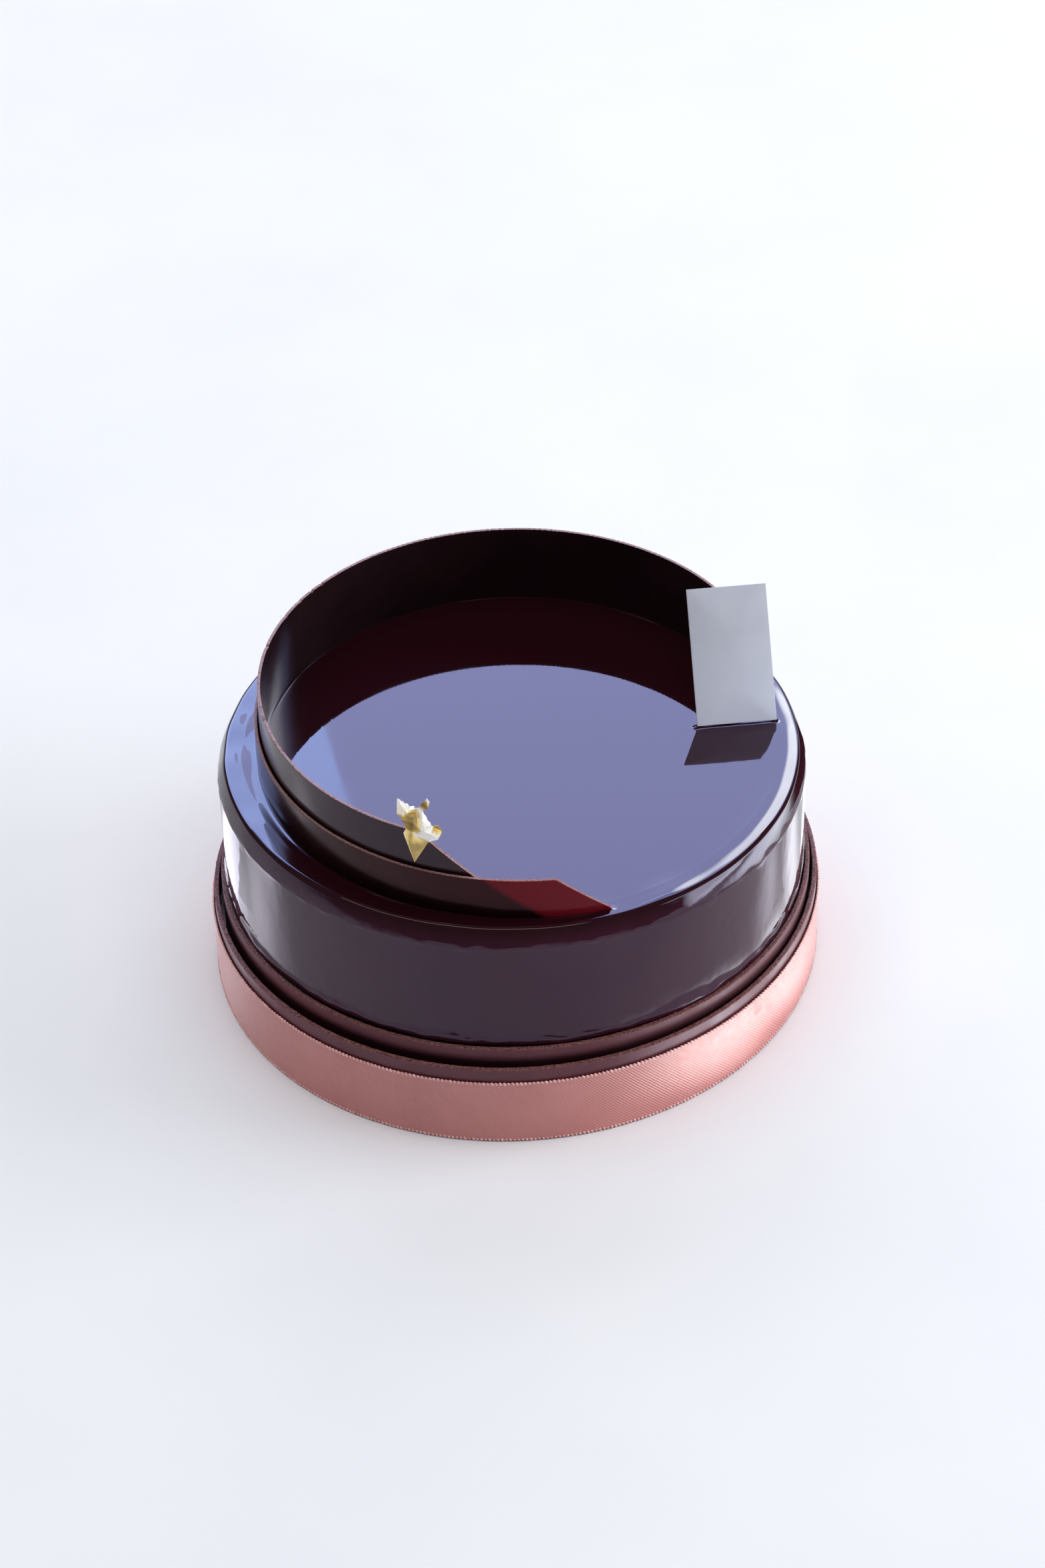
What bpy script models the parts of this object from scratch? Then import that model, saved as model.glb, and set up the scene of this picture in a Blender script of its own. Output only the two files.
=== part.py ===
# Round chocolate cake under a mirror glaze. Two rings of chocolate and a ribbon
# wrap its foot, two curled strips of chocolate stand on top with a flake of gold,
# and a blank card leans back on the end of the taller strip.
# Metres, +Z up. The origin is on the base, on the axis of the rings.

import math

import bmesh
import bpy
from mathutils import Matrix, Vector

# Driving dimensions
MM = 0.001
GAP = 0.3 * MM                     # left between pieces that touch
TURN_STEPS = 144                   # segments round a turned piece

CAKE_TOP = 70.5 * MM
CAKE_RADIUS = 83.4 * MM            # just under the shoulder
CAKE_FOOT_RADIUS = 82.7 * MM       # the wall draws in a little towards its foot
CAKE_SHIFT = -0.3 * MM             # the cake sits slightly left in its rings
SHOULDER_RADIUS = 6.0 * MM
SHOULDER_STEPS = 7

INNER_RING_RADIUS = 85.4 * MM
INNER_RING_THICKNESS = 1.6 * MM
INNER_RING_HEIGHT = 31.0 * MM
INNER_RING_OVAL = 0.006

OUTER_RING_RADIUS = 88.0 * MM
OUTER_RING_THICKNESS = 1.6 * MM
OUTER_RING_HEIGHT = 26.7 * MM
OUTER_RING_OVAL = 0.013            # how far out of round, as a share of the radius
OVAL_TURN = math.radians(58)       # where the long axis of the ovals lies
RING_CHAMFER = 0.25 * MM

RIBBON_THICKNESS = 0.35 * MM
RIBBON_WIDTH = 21.9 * MM

STRIP_THICKNESS = 0.9 * MM
STRIP_FOOT_RADIUS = 70.6 * MM      # middle of the taller strip where it stands
STRIP_LEAN = -0.02                 # a slight inward lean, as a slope
STRIP_LAYER = STRIP_THICKNESS + GAP
STRIP_OPENING = 0.070 * MM         # how fast the strips unroll at the front, for each degree
STRIP_OPENING_START = 196.0        # degrees
STRIP_OPENING_EASE = 10.0
STRIP_ROWS = 4

TALL_HEIGHT = 24.6 * MM
TALL_START = 20.8                  # degrees, behind the card
TALL_FOOT_END = 273.8              # the front end is cut on a slant
TALL_TOP_END = 249.8
TALL_COLUMNS = 96

LOW_HEIGHT = 12.9 * MM
LOW_START = 22.0
LOW_FOOT_END = 289.2
LOW_TOP_END = 277.8
LOW_COLUMNS = 100

CARD_WIDTH = 22.8 * MM
CARD_LENGTH = 38.9 * MM
CARD_THICKNESS = 0.6 * MM
CARD_FOOT = (64.0 * MM, 5.2 * MM)
CARD_YAW = math.radians(5.5)
CARD_LEAN = math.radians(36.7)

LEAF_THICKNESS = 0.35 * MM
LEAF_ANGLE = 249.9                 # degrees, the middle of the flake on the strip
LEAF_WAVE = 0.45 * MM
LEAF_BEND = 0.30                   # how fast the free part bows over the strip
# Corners of the flake: along the strip, and up from its top edge, in millimetres
LEAF_OUTLINE = [(-0.4, -11.3), (-3.9, -1.4), (-3.5, 0.9), (-5.9, 3.3), (-5.7, 8.2), (0.6, 6.7),
                (3.1, 10.0), (4.3, 9.7), (3.2, 7.2), (2.2, 5.3), (4.1, 2.7), (6.3, 3.5),
                (8.0, 2.0), (6.5, -1.7), (3.7, -3.4)]

COLLECTION = "glazed_cake_with_collar"


def material(name, colour, roughness, metallic=0.0, coat=0.0):
    made = bpy.data.materials.new(name)
    made.use_nodes = True
    shader = made.node_tree.nodes["Principled BSDF"]
    shader.inputs["Base Color"].default_value = (*colour, 1.0)
    shader.inputs["Roughness"].default_value = roughness
    shader.inputs["Metallic"].default_value = metallic
    shader.inputs["Coat Weight"].default_value = coat
    made.diffuse_color = (*colour, 1.0)
    return made


def add_object(name, mesh, surface, smooth_angle=35.0):
    mesh.materials.append(surface)
    mesh.shade_smooth()
    mesh.set_sharp_from_angle(angle=math.radians(smooth_angle))
    made = bpy.data.objects.new(name, mesh)
    bpy.data.collections[COLLECTION].objects.link(made)
    return made


def turned(name, profile, surface, closed):
    # A profile of (radius, height) points, turned about +Z
    mesh = bpy.data.meshes.new(name)
    edges = [(i, i + 1) for i in range(len(profile) - 1)]
    if closed:
        edges.append((len(profile) - 1, 0))
    mesh.from_pydata([(radius, 0.0, height) for radius, height in profile], edges, [])
    made = add_object(name, mesh, surface)
    screw = made.modifiers.new("Screw", "SCREW")
    screw.axis = "Z"
    screw.angle = math.tau
    screw.steps = TURN_STEPS
    screw.render_steps = TURN_STEPS
    screw.use_merge_vertices = True
    screw.merge_threshold = 0.00001
    screw.use_smooth_shade = True
    return made


def make_oval(made, share):
    made.rotation_euler.z = OVAL_TURN
    made.scale = (1.0 + share, 1.0 - share, 1.0)


def glazed_cake():
    surface = material("glaze", (0.022, 0.009, 0.010), 0.04, coat=1.0)
    profile = [(0.0, CAKE_TOP)]
    for i in range(SHOULDER_STEPS + 1):
        angle = math.radians(90.0 * (1.0 - i / SHOULDER_STEPS))
        profile.append((CAKE_RADIUS - SHOULDER_RADIUS + SHOULDER_RADIUS * math.cos(angle),
                        CAKE_TOP - SHOULDER_RADIUS + SHOULDER_RADIUS * math.sin(angle)))
    profile.append((CAKE_FOOT_RADIUS, INNER_RING_HEIGHT))
    profile.append((CAKE_FOOT_RADIUS, 0.0))
    profile.append((0.0, 0.0))
    made = turned("glazed_cake", profile, surface, closed=False)
    made.location.x = CAKE_SHIFT
    return made


def ring_profile(outer, thickness, low, high, chamfer):
    # Down the outer side and up the inner side, with the top edges broken
    inner = outer - thickness
    return [(outer - chamfer, high), (outer, high - chamfer), (outer, low), (inner, low),
            (inner, high - chamfer), (inner + chamfer, high)]


def inner_ring():
    surface = material("ring_chocolate", (0.075, 0.030, 0.026), 0.38)
    profile = ring_profile(INNER_RING_RADIUS, INNER_RING_THICKNESS, 0.0, INNER_RING_HEIGHT, RING_CHAMFER)
    made = turned("inner_ring", profile, surface, closed=True)
    make_oval(made, INNER_RING_OVAL)
    return made


def outer_ring():
    surface = bpy.data.materials["ring_chocolate"]
    profile = ring_profile(OUTER_RING_RADIUS, OUTER_RING_THICKNESS, 0.0, OUTER_RING_HEIGHT, RING_CHAMFER)
    made = turned("outer_ring", profile, surface, closed=True)
    make_oval(made, OUTER_RING_OVAL)
    return made


def ribbon_band():
    surface = material("ribbon_satin", (0.52, 0.24, 0.23), 0.35)
    inner = OUTER_RING_RADIUS + GAP
    outer = inner + RIBBON_THICKNESS
    profile = [(outer, RIBBON_WIDTH), (outer, GAP), (inner, GAP), (inner, RIBBON_WIDTH)]
    made = turned("ribbon_band", profile, surface, closed=True)
    make_oval(made, OUTER_RING_OVAL)
    return made


def strip_radius(angle, rise):
    # Middle of the taller strip: a ring that eases into a steady opening towards
    # its front end
    past_start = (angle - STRIP_OPENING_START) / STRIP_OPENING_EASE
    opened = STRIP_OPENING_EASE * math.log1p(math.exp(past_start))
    return STRIP_FOOT_RADIUS + STRIP_LEAN * rise + STRIP_OPENING * opened


def strip_point(angle, rise, outward):
    radius = strip_radius(angle, rise) + outward
    turn = math.radians(angle)
    return Vector((radius * math.cos(turn), radius * math.sin(turn), CAKE_TOP + GAP + rise))


def curled_strip(name, surface, height, outward, start, foot_end, top_end, columns):
    # A flat grid is curled along the path; its far edge slants to the top end
    bm = bmesh.new()
    bmesh.ops.create_grid(bm, x_segments=columns, y_segments=STRIP_ROWS, size=1.0)
    for vert in bm.verts:
        along = (vert.co.x + 1.0) / 2.0
        up = (vert.co.y + 1.0) / 2.0
        end = foot_end + (top_end - foot_end) * up
        vert.co = strip_point(start + (end - start) * along, height * up, outward)
    mesh = bpy.data.meshes.new(name)
    bm.to_mesh(mesh)
    bm.free()
    made = add_object(name, mesh, surface, smooth_angle=50.0)
    wall = made.modifiers.new("Wall", "SOLIDIFY")
    wall.thickness = STRIP_THICKNESS
    wall.offset = 0.0
    wall.use_even_offset = True
    return made


def tall_collar():
    surface = material("strip_chocolate", (0.050, 0.018, 0.018), 0.30)
    return curled_strip("tall_collar", surface, TALL_HEIGHT, 0.0, TALL_START,
                        TALL_FOOT_END, TALL_TOP_END, TALL_COLUMNS)


def low_collar():
    surface = bpy.data.materials["strip_chocolate"]
    return curled_strip("low_collar", surface, LOW_HEIGHT, STRIP_LAYER, LOW_START,
                        LOW_FOOT_END, LOW_TOP_END, LOW_COLUMNS)


def name_card():
    surface = material("card_board", (0.78, 0.80, 0.86), 0.55)
    bm = bmesh.new()
    bmesh.ops.create_cube(bm, size=1.0)
    size = Matrix.Diagonal((CARD_WIDTH, CARD_THICKNESS, CARD_LENGTH, 1.0))
    foot_to_middle = Matrix.Translation((0.0, 0.0, CARD_LENGTH / 2.0))
    bmesh.ops.transform(bm, matrix=foot_to_middle @ size, verts=bm.verts)
    mesh = bpy.data.meshes.new("name_card")
    bm.to_mesh(mesh)
    bm.free()
    made = add_object("name_card", mesh, surface)
    sunk_corner = CARD_THICKNESS / 2.0 * math.sin(CARD_LEAN)
    made.location = (CARD_FOOT[0], CARD_FOOT[1], CAKE_TOP + GAP + sunk_corner)
    made.rotation_euler = (-CARD_LEAN, 0.0, CARD_YAW)
    return made


def leaf_outward(along, up):
    # Distance out of the strip's middle: clear of its face, waved, and bowing
    # over the strip where the flake stands free of it
    clear = STRIP_THICKNESS / 2.0 + GAP + LEAF_THICKNESS / 2.0 + LEAF_WAVE
    wave = LEAF_WAVE * math.sin(along / (1.7 * MM) + 0.8) * math.cos(up / (2.3 * MM))
    free = max(0.0, up - 1.2 * MM)
    return clear + wave - LEAF_BEND * free


def gold_leaf():
    surface = material("gold_foil", (0.85, 0.62, 0.25), 0.25, metallic=1.0)
    bm = bmesh.new()
    corners = [bm.verts.new((along * MM, up * MM, 0.0)) for along, up in LEAF_OUTLINE]
    bm.faces.new(corners)
    bmesh.ops.triangulate(bm, faces=bm.faces[:])
    bmesh.ops.subdivide_edges(bm, edges=bm.edges[:], cuts=1, use_grid_fill=True)
    bmesh.ops.triangulate(bm, faces=bm.faces[:])
    for vert in bm.verts:
        along, up = vert.co.x, vert.co.y
        angle = LEAF_ANGLE + math.degrees(along / STRIP_FOOT_RADIUS)
        vert.co = strip_point(angle, TALL_HEIGHT + up, leaf_outward(along, up))
    bmesh.ops.recalc_face_normals(bm, faces=bm.faces[:])
    mesh = bpy.data.meshes.new("gold_leaf")
    bm.to_mesh(mesh)
    bm.free()
    made = add_object("gold_leaf", mesh, surface)
    wall = made.modifiers.new("Wall", "SOLIDIFY")
    wall.thickness = LEAF_THICKNESS
    wall.offset = 0.0
    return made


def main():
    for old in list(bpy.data.objects):
        bpy.data.objects.remove(old, do_unlink=True)
    collection = bpy.data.collections.new(COLLECTION)
    bpy.context.scene.collection.children.link(collection)
    glazed_cake()
    inner_ring()
    outer_ring()
    ribbon_band()
    tall_collar()
    low_collar()
    name_card()
    gold_leaf()


main()
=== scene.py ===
import bmesh
import bpy
import numpy as np
from math import cos, pi, radians, sin, sqrt
from mathutils import Matrix, Vector
from mathutils.geometry import delaunay_2d_cdt


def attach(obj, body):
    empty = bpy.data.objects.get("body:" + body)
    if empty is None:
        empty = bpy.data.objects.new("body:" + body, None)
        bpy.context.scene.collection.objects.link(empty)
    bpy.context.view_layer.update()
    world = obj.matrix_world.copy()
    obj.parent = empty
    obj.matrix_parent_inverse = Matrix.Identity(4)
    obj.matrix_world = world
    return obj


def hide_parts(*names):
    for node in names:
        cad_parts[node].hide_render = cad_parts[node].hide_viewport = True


# Sizes are in millimetres and angles in degrees until a mesh is made. Angle 0 is +X and
# 90 is +Y, the back of the cake.
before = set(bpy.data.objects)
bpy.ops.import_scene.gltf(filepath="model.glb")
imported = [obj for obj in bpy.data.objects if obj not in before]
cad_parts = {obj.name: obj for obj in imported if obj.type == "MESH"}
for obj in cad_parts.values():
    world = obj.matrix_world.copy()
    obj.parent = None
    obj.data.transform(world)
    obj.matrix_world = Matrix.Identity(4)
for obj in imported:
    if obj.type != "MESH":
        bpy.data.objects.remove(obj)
scene = bpy.context.scene
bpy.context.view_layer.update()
mm = 0.001


# Small helpers for smooth steps, uneven edges and places round the axis

def smoothStep(low, high, value):
    share = np.clip((value - low) / (high - low), 0.0, 1.0)
    return share * share * (3 - 2 * share)


def wobble(turn, fewest, most, seed, fall=0.8):  # uneven line round the cake, -1 to 1
    draw = np.random.default_rng(seed)
    total = np.zeros_like(turn)
    scale = 0.0
    for count in range(fewest, most + 1):
        size = count ** -fall
        scale += size * size
        total += size * np.cos(count * turn + draw.uniform(0, 2 * pi))
    return np.clip(total / (2.2 * sqrt(scale / 2)), -1.3, 1.3)


def around(radius, angle):  # x and y, for an angle in radians
    return radius * np.cos(angle), radius * np.sin(angle)


# Mesh makers

def finishMesh(mesh, material, sharpAngle):
    shape = bmesh.new()
    shape.from_mesh(mesh)
    bmesh.ops.remove_doubles(shape, verts=shape.verts, dist=2e-6)
    bmesh.ops.recalc_face_normals(shape, faces=shape.faces)
    if shape.calc_volume(signed=True) < 0:
        bmesh.ops.reverse_faces(shape, faces=shape.faces)
    shape.to_mesh(mesh)
    shape.free()
    mesh.materials.clear()
    mesh.materials.append(material)
    mesh.polygons.foreach_set("use_smooth", [True] * len(mesh.polygons))
    mesh.set_sharp_from_angle(angle=radians(sharpAngle))
    mesh.update()


def linkPiece(name, mesh):
    piece = bpy.data.objects.new(name, mesh)
    scene.collection.objects.link(piece)
    return piece


# Rows and columns of points become quads. A closed row or column joins its own start.
def loftMesh(name, points, rowsClosed, columnsClosed, capEnds=False):
    rows, columns = points.shape[:2]
    index = np.arange(rows * columns).reshape(rows, columns)
    down = index if rowsClosed else index[:-1]
    below = np.roll(index, -1, axis=0) if rowsClosed else index[1:]
    if not columnsClosed:
        corners = (down[:, :-1], down[:, 1:], below[:, 1:], below[:, :-1])
    else:
        corners = (down, np.roll(down, -1, axis=1), np.roll(below, -1, axis=1), below)
    faces = np.stack([c.ravel() for c in corners], axis=1).tolist()
    if capEnds:
        faces += [index[:, 0].tolist(), index[::-1, -1].tolist()]
    mesh = bpy.data.meshes.new(name)
    mesh.from_pydata((points.reshape(-1, 3) * mm).tolist(), [], faces)
    return mesh


def storeValues(mesh, name, values):
    mesh.attributes.new(name, "FLOAT", "POINT").data.foreach_set("value", values)


# Material helpers

def startMaterial(name):
    material = bpy.data.materials.new(name)
    material.use_nodes = True
    return material, material.node_tree, material.node_tree.nodes["Principled BSDF"]


def setInputs(node, values):  # each value is a plain one or the output of another node
    for name, value in values.items():
        if isinstance(value, bpy.types.NodeSocket):
            node.id_data.links.new(value, node.inputs[name])
        else:
            node.inputs[name].default_value = value


def addNode(tree, kind, values=None, **fields):
    node = tree.nodes.new(kind)
    for name, value in fields.items():
        setattr(node, name, value)
    setInputs(node, values or {})
    return node


def objectPoint(tree, scale=(1, 1, 1)):
    place = addNode(tree, "ShaderNodeTexCoord").outputs["Object"]
    return addNode(tree, "ShaderNodeMapping", {"Vector": place, "Scale": scale}).outputs["Vector"]


def heightOf(tree, point):
    return addNode(tree, "ShaderNodeSeparateXYZ", {0: point}).outputs["Z"]


def noiseValue(tree, point, scale, detail=3.0, roughness=0.55, distortion=0.0):
    return addNode(tree, "ShaderNodeTexNoise", {
        "Vector": point, "Scale": scale, "Detail": detail, "Roughness": roughness,
        "Distortion": distortion}).outputs["Fac"]


def ramp(tree, value, stops):
    node = addNode(tree, "ShaderNodeValToRGB", {"Fac": value})
    while len(node.color_ramp.elements) < len(stops):
        node.color_ramp.elements.new(0.5)
    for element, (position, colour) in zip(node.color_ramp.elements, stops):
        element.position = position
        element.color = (*colour, 1.0)
    return node.outputs["Color"]


def valueRange(tree, value, fromLow, fromHigh, toLow, toHigh):
    return addNode(tree, "ShaderNodeMapRange", {
        "Value": value, "From Min": fromLow, "From Max": fromHigh, "To Min": toLow,
        "To Max": toHigh}).outputs["Result"]


def noiseBetween(tree, point, scale, low, high, detail=3.0):
    return valueRange(tree, noiseValue(tree, point, scale, detail), 0.3, 0.7, low, high)


def calculate(tree, operation, first, second):
    return addNode(tree, "ShaderNodeMath", {0: first, 1: second}, operation=operation).outputs["Value"]


def calculateVector(tree, operation, first, second):
    other = "Scale" if operation == "SCALE" else 1
    return addNode(tree, "ShaderNodeVectorMath", {0: first, other: second}, operation=operation).outputs[0]


def mixColours(tree, share, first, second, blend="MIX"):
    first, second = ((*c, 1.0) if isinstance(c, tuple) else c for c in (first, second))
    node = addNode(tree, "ShaderNodeMix", {0: share, 6: first, 7: second}, data_type="RGBA", blend_type=blend)
    return node.outputs[2]


def readAttribute(tree, name):
    return addNode(tree, "ShaderNodeAttribute", attribute_name=name).outputs["Fac"]


def addBump(tree, shader, height, distance, strength=1.0, before=None):
    node = addNode(tree, "ShaderNodeBump", {"Height": height, "Distance": distance, "Strength": strength})
    if before:
        setInputs(node, {"Normal": before})
    setInputs(shader, {"Normal": node.outputs["Normal"]})
    return node.outputs["Normal"]


# Geometry Nodes helpers

def startTree(name, inputs):  # the names of its inputs, by kind
    tree = bpy.data.node_groups.new(name, "GeometryNodeTree")
    tree.interface.new_socket("Geometry", in_out="INPUT", socket_type="NodeSocketGeometry")
    for kind, labels in dict(inputs, Material=("Material",)).items():
        for label in labels:
            tree.interface.new_socket(label, in_out="INPUT", socket_type="NodeSocket" + kind)
    tree.interface.new_socket("Geometry", in_out="OUTPUT", socket_type="NodeSocketGeometry")
    return tree, tree.nodes.new("NodeGroupInput").outputs, tree.nodes.new("NodeGroupOutput")


def keepCutEdge(tree, value):
    return addNode(tree, "GeometryNodeStoreNamedAttribute", {"Name": "cutEdge", "Value": value},
                   data_type="FLOAT", domain="POINT")


def randomNumber(tree, values):
    return addNode(tree, "FunctionNodeRandomValue", values, data_type="FLOAT").outputs[1]


def randomVector(tree, values):
    return addNode(tree, "FunctionNodeRandomValue", values, data_type="FLOAT_VECTOR").outputs[0]


def ovalTransform(tree, given):  # out of round and turned
    size = addNode(tree, "ShaderNodeCombineXYZ", {
        "X": calculate(tree, "ADD", 1.0, given["Oval"]),
        "Y": calculate(tree, "SUBTRACT", 1.0, given["Oval"]), "Z": 1.0})
    turn = addNode(tree, "ShaderNodeCombineXYZ", {"Z": given["Turn"]})
    return addNode(tree, "GeometryNodeTransform", {"Scale": size.outputs[0], "Rotation": turn.outputs[0]})


def finishTree(tree, given, end, *nodes):  # joins the nodes, makes instances real and sets the material
    real = addNode(tree, "GeometryNodeRealizeInstances")
    finish = addNode(tree, "GeometryNodeSetMaterial", {"Material": given["Material"]})
    nodes = (*nodes, real, finish, end)
    for first, second in zip(nodes, nodes[1:]):
        tree.links.new(first.outputs[0], second.inputs[0])
    return tree


# Runs a tree on a seed mesh and keeps the result as a plain mesh
def runTree(name, seedMesh, tree, values, material, sharpAngle):
    seed = linkPiece(name, seedMesh)
    modifier = seed.modifiers.new(tree.name, "NODES")
    modifier.node_group = tree
    for item in tree.interface.items_tree:
        if item.in_out == "INPUT" and item.name in values:
            modifier[item.identifier] = values[item.name]
    bpy.context.view_layer.update()
    graph = bpy.context.evaluated_depsgraph_get()
    mesh = bpy.data.meshes.new_from_object(seed.evaluated_get(graph), depsgraph=graph)
    seed.modifiers.remove(modifier)
    seed.data = mesh
    bpy.data.meshes.remove(seedMesh)
    mesh.name = name
    finishMesh(mesh, material, sharpAngle)
    return seed


# Camera at the photograph's angle

viewer = {
    "place": (0.0, -0.8085, 0.6979),
    "aim": (0.00255, 0.0, 0.05505),
    "roll": -0.02495,  # radians
    "lens": 82.97,
}


def addCamera(values):
    place = Vector(values["place"])
    ahead = (Vector(values["aim"]) - place).normalized()
    across = ahead.cross(Vector((0, 0, 1))).normalized()
    upward = across.cross(ahead)
    turn, lift = cos(values["roll"]), sin(values["roll"])
    right = across * turn + upward * lift
    top = upward * turn - across * lift
    matrix = Matrix((right, top, -ahead)).transposed().to_4x4()
    matrix.translation = place
    lens = bpy.data.cameras.new("viewCamera")
    lens.lens = values["lens"]
    lens.sensor_width = 36.0
    lens.clip_end = 20.0
    camera = bpy.data.objects.new("viewCamera", lens)
    scene.collection.objects.link(camera)
    camera.matrix_world = matrix
    scene.camera = camera


addCamera(viewer)
print("camera ready")


# Studio: pale floor, soft panels and an even white room

studio = {
    "floor": 6.0,  # metres
    "floorColour": ((0.76, 0.775, 0.80), (0.80, 0.81, 0.83)),
    "room": (1.0, 0.78, 0.74),
    "roomStrength": 0.16,
    # azimuth runs from +Y towards +X; sizes and distances are in metres
    "panelColumns": ("azimuth", "elevation", "distance", "size", "radiance", "colour", "soft"),
    "glossPanels": {
        "backPanel": (0, 34, 1.9, (3.0, 1.25), 6.5, (0.53, 0.63, 1.0), 0),
        "leftSky": (-27, 36, 1.87, (1.13, 1.15), 3.5, (0.29, 0.59, 1.0), 0),
        "rightSky": (22, 59, 1.88, (1.4, 0.6), 5.8, (0.53, 0.66, 1.0), 0),
        "rimWindow": (26, 40, 1.85, (0.80, 0.95), 11.0, (0.92, 1.0, 0.70), 0.3),
        "oliveGlow": (-150, 70, 1.88, (2.2, 0.26), 3.2, (1.0, 0.88, 0.50), 0),
        "rightStreak": (94, 0, 0.92, (0.95, 0.24), 6.5, (0.90, 1.0, 1.0), 0.3),
    },
    "diffusePanels": {
        "backSoft": (0, 36, 1.9, (3.0, 1.25), 1.55, (0.90, 0.95, 1.0), 0),
        "overhead": (180, 84, 1.9, (2.2, 1.6), 2.75, (0.91, 0.95, 1.0), 0),
        "rightLow": (88, 14, 1.6, (1.04, 0.80), 9.0, (0.92, 0.97, 1.0), 0),
        "leftLow": (-68, 14, 1.7, (0.7, 0.35), 4.8, (1.0, 0.92, 0.88), 0),
    },
    "fullPanels": {
        "rightFront": (118, 8, 1.6, (0.9, 0.36), 3.5, (0.92, 0.95, 1.0), 0.4),
    },
    "glintHeight": 0.0015,
    "glintColumns": ("place", "azimuth", "size", "soft", "radiance", "colour"),
    "glints": {  # low soft cards that only show in the gloss; long the way of their azimuth
        "leftGlint": ((-0.107, 0.024), -35, (0.054, 0.090), 0.5, 1.6, (0.86, 0.84, 1.0)),
        "sideGlint": ((-0.124, -0.014), -62, (0.060, 0.140), 1.0, 1.15, (0.92, 0.90, 1.0)),
        "rightGlint": ((0.099, 0.052), 12, (0.016, 0.160), 0.8, 1.35, (0.86, 0.92, 1.0)),
        "bandGlint": ((0.118, 0.022), 38, (0.036, 0.150), 1.0, 1.6, (0.90, 0.93, 1.0)),
        "thinGlint": ((0.128, -0.012), 60, (0.036, 0.130), 1.0, 1.2, (0.90, 0.90, 1.0)),
        "farGlint": ((0.52, 0.05), 80, (0.50, 0.62), 0.6, 6.0, (0.90, 1.0, 1.0)),
        "satinGlint": ((0.089, -0.047), 20, (0.025, 0.104), 0.9, 4.2, (0.95, 1.0, 1.0)),
        "frontSatin": ((0.069, -0.075), 46, (0.034, 0.096), 1.0, 6.2, (0.93, 1.0, 1.0)),
    },
    # a dark cloth on the floor, at the right behind the cake, that only shows in the gloss
    "darkCloth": ((0.112, 0.100), (0.275, 0.075), (0.33, 0.26), (0.13, 0.33)),
}


def softenEdges(light, share):  # the light fades over this share of the way to its middle
    light.use_nodes = True
    tree = light.node_tree
    place = addNode(tree, "ShaderNodeNewGeometry").outputs["Parametric"]
    aside = addNode(tree, "ShaderNodeVectorMath", {0: place, 1: (0.5, 0.5, 0.0)}, operation="DISTANCE")
    fade = addNode(tree, "ShaderNodeMapRange", {
        "Value": aside.outputs["Value"], "From Min": 0.5, "From Max": 0.5 - 0.5 * share},
        interpolation_type="SMOOTHSTEP")
    setInputs(tree.nodes["Emission"], {"Strength": fade.outputs["Result"]})


def addLight(name, values, place, diffuse=True, gloss=True):
    width, height = values["size"]
    light = bpy.data.lights.new(name, "AREA")
    light.shape = values.get("shape", "RECTANGLE")
    light.size, light.size_y = width, height
    light.energy = values["radiance"] * pi * width * height
    light.color = values["colour"]
    if values["soft"]:
        softenEdges(light, values["soft"])
    panel = bpy.data.objects.new(name, light)
    panel.location = place
    panel.visible_diffuse = diffuse
    panel.visible_glossy = panel.visible_transmission = gloss
    scene.collection.objects.link(panel)
    return panel


def addPanel(name, values, diffuse, gloss):
    side, up = radians(values["azimuth"]), radians(values["elevation"])
    away = Vector((sin(side) * cos(up), cos(side) * cos(up), sin(up)))
    panel = addLight(name, values, Vector((0, 0, 0.06)) + away * values["distance"], diffuse, gloss)
    panel.rotation_euler = away.to_track_quat("Z", "Y").to_euler()


def addGlint(name, values, height):
    glint = addLight(name, dict(values, shape="ELLIPSE"), (*values["place"], height), diffuse=False)
    glint.rotation_euler = (pi, 0, -radians(values["azimuth"]))
    glint.visible_camera = False


def makeFloorMaterial(colours):
    material, tree, shader = startMaterial("paleFloor")
    point = objectPoint(tree)
    setInputs(shader, {
        "Base Color": ramp(tree, noiseValue(tree, point, 6.0, 4.0), [(0.35, colours[0]), (0.65, colours[1])]),
        "Roughness": 0.85, "Specular IOR Level": 0.2})
    addBump(tree, shader, noiseValue(tree, point, 900.0), 0.00005, 0.3)
    return material


def makeFlat(name, corners, material):
    mesh = bpy.data.meshes.new(name)
    mesh.from_pydata(corners, [], [(0, 1, 2, 3)])
    mesh.materials.append(material)
    return linkPiece(name, mesh)


def makeDarkCloth(corners):
    material, tree, shader = startMaterial("darkCloth")
    setInputs(shader, {"Base Color": (0.02, 0.008, 0.010, 1.0), "Roughness": 1.0, "Specular IOR Level": 0.0})
    cloth = makeFlat("darkCloth", [(x, y, 0.001) for x, y in corners], material)
    cloth.visible_camera = cloth.visible_diffuse = cloth.visible_shadow = False


def makeStudio(values):
    half = values["floor"] / 2
    corners = [(-half, -half, 0), (half, -half, 0), (half, half, 0), (-half, half, 0)]
    makeFlat("studioFloor", corners, makeFloorMaterial(values["floorColour"]))
    makeDarkCloth(values["darkCloth"])
    for group, diffuse, gloss in (("glossPanels", False, True), ("diffusePanels", True, False),
                                  ("fullPanels", True, True)):
        for name, row in values[group].items():
            addPanel(name, dict(zip(values["panelColumns"], row)), diffuse, gloss)
    for name, row in values["glints"].items():
        addGlint(name, dict(zip(values["glintColumns"], row)), values["glintHeight"])
    room = bpy.data.worlds.new("whiteRoom")
    room.use_nodes = True
    setInputs(room.node_tree.nodes["Background"], {
        "Color": (*values["room"], 1.0), "Strength": values["roomStrength"]})
    scene.world = room
    scene.view_settings.view_transform = "Standard"
    scene.view_settings.look = "None"


makeStudio(studio)
print("studio ready")


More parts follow.
